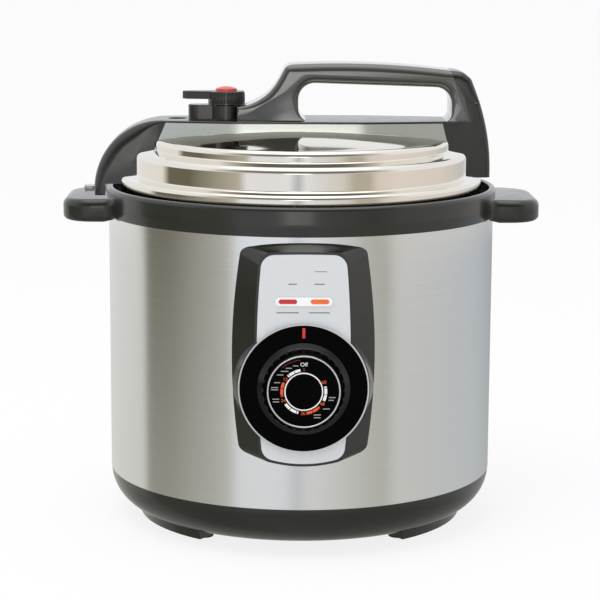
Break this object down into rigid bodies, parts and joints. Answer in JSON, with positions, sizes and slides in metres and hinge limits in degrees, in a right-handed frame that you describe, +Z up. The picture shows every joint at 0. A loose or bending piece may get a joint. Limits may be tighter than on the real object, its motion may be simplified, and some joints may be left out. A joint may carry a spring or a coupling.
{
  "type": "electric pressure cooker",
  "caption": "Round steel electric pressure cooker with a bayonet lid under a loop handle, steam valve, float pin, lift-out pot, side lugs, front timer knob and rear power inlet.",
  "frame": {"origin": "on the pot's upright axis, at the surface the feet stand on", "axes": "+Z up, +X from the left lug to the right lug seen from the front, -Y out of the control panel"},
  "size_m": [0.3364, 0.3116, 0.3261],
  "materials": {
    "brushed_steel": "brushed",
    "polished_steel": "polished",
    "inner_steel": "satin",
    "spring_steel": "bright",
    "zinc_steel": "plated",
    "cast_aluminium": "cast",
    "pot_aluminium": "non-stick coated",
    "dark_plastic": "satin gloss",
    "black_plastic": "gloss",
    "grey_plastic": "silver grey",
    "window_plastic": "gloss",
    "red_lens": "tinted clear",
    "orange_lens": "tinted clear",
    "board": "lacquered",
    "red_plastic": "gloss",
    "brass": "bright",
    "foot_rubber": "matt",
    "silicone": "matt"
  },
  "bodies": {
    "housing": {"base_housing": "dark_plastic", "rubber_feet": "foot_rubber", "support_posts": "zinc_steel", "base_screws": "zinc_steel", "outer_sleeve": "brushed_steel", "collar_ring": "dark_plastic", "side_handle_right": "dark_plastic", "side_handle_left": "dark_plastic", "handle_screws": "zinc_steel", "inner_shell": "inner_steel", "heating_plate": "cast_aluminium", "heating_element": "zinc_steel", "plate_studs": "zinc_steel", "thermal_cutout": "black_plastic", "pressure_switch": "black_plastic", "panel_bezel": "dark_plastic", "face_plate": "grey_plastic", "indicator_window": "window_plastic", "lens_red": "red_lens", "lens_orange": "orange_lens", "lamp_board": "board", "dial_disc": "black_plastic", "dial_ring": "grey_plastic", "timer_case": "black_plastic", "timer_screws": "zinc_steel", "power_inlet": "dark_plastic", "inlet_pins": "brass", "inlet_screws": "zinc_steel"},
    "sensor": {"sensor_plunger": "inner_steel", "sensor_spring": "spring_steel"},
    "pot": {"inner_pot": "pot_aluminium"},
    "inner_lid": {"inner_cover": "inner_steel", "sealing_ring": "silicone", "cover_grommet": "silicone"},
    "lid": {"lid_shell": "polished_steel", "locking_ring": "inner_steel", "cover_stud": "inner_steel", "cover_knob": "black_plastic", "lid_strap": "dark_plastic", "strap_screws": "zinc_steel", "lid_grip": "dark_plastic", "grip_end_cover": "dark_plastic", "grip_screws": "zinc_steel", "vent_stem": "inner_steel", "vent_nut": "inner_steel", "anti_block_cap": "inner_steel", "valve_base": "dark_plastic", "float_bush": "inner_steel"},
    "valve": {"pressure_valve": "dark_plastic"},
    "button": {"release_button": "red_plastic", "button_spring": "spring_steel"},
    "float": {"float_pin": "inner_steel", "float_seal": "silicone"},
    "knob": {"knob": "black_plastic", "timer_shaft": "inner_steel"}
  },
  "joints": [
    {"name": "lid_lift", "type": "slide", "parent": "housing", "child": "inner_lid", "axis": [0, 0, 1], "range_m": [0, 0.3]},
    {"name": "lid_turn", "type": "hinge", "parent": "inner_lid", "child": "lid", "pos_m": [0, 0, 0.24], "axis": [0, 0, 1], "range_deg": [0, 30]},
    {"name": "pot_lift", "type": "slide", "parent": "housing", "child": "pot", "axis": [0, 0, 1], "range_m": [0, 0.16]},
    {"name": "valve_turn", "type": "hinge", "parent": "lid", "child": "valve", "pos_m": [-0.0534, 0, 0.301], "axis": [0, 0, 1], "range_deg": [0, 60]},
    {"name": "button_press", "type": "slide", "parent": "valve", "child": "button", "axis": [0, 0, -1], "range_m": [0, 0.002], "stiffness_N_per_m": 400, "deforming": ["button_spring"]},
    {"name": "float_rise", "type": "slide", "parent": "lid", "child": "float", "axis": [0, 0, 1], "range_m": [0, 0.006]},
    {"name": "knob_turn", "type": "hinge", "parent": "housing", "child": "knob", "pos_m": [0, -0.15, 0.121], "axis": [0, -1, 0], "range_deg": [-295, 0]},
    {"name": "sensor_press", "type": "slide", "parent": "housing", "child": "sensor", "axis": [0, 0, -1], "range_m": [0, 0.002], "stiffness_N_per_m": 800, "deforming": ["sensor_spring"]}
  ],
  "couplings": [
    {"joint": "pot_lift", "follows": "lid_lift", "ratio": 0.53333}
  ]
}
